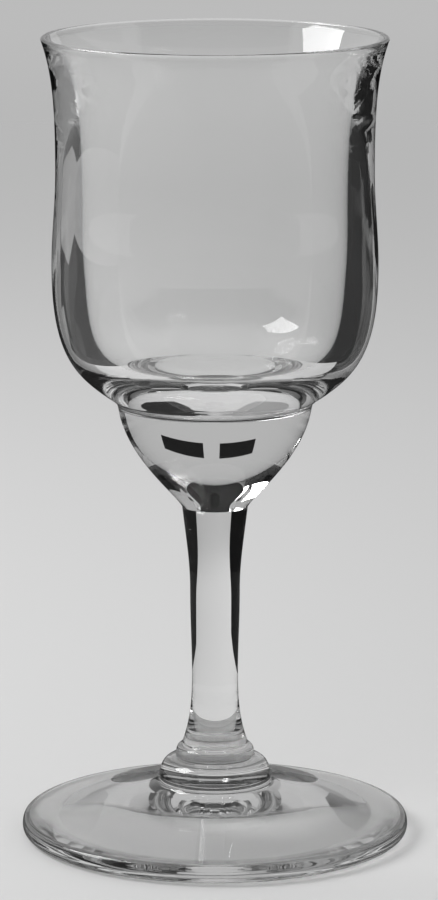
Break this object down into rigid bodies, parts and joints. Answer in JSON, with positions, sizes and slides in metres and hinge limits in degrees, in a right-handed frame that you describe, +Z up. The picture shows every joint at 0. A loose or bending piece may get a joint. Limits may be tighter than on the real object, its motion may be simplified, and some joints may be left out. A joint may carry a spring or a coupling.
{
  "type": "liqueur glass",
  "caption": "Small clear stemmed glass for liqueur: flared bowl stepping in to a solid knop, round drawn stem, stepped collar flaring at its base and a domed round foot.",
  "frame": {"origin": "centre of the foot's underside, on the surface that the glass stands on", "axes": "+Z up along the glass's axis of turning, towards the lip; the glass is round, so +X and +Y are free, with -Y towards the picture's camera"},
  "size_m": [0.0484, 0.0484, 0.1],
  "materials": {
    "clear_bowl_glass": "polished",
    "clear_knop_glass": "polished",
    "clear_stem_glass": "polished",
    "clear_collar_glass": "polished",
    "clear_foot_glass": "polished"
  },
  "bodies": {
    "root": {"bowl": "clear_bowl_glass", "knop": "clear_knop_glass", "stem": "clear_stem_glass", "upper_ring": "clear_collar_glass", "middle_ring": "clear_collar_glass", "lower_ring": "clear_collar_glass", "foot": "clear_foot_glass"}
  },
  "joints": []
}
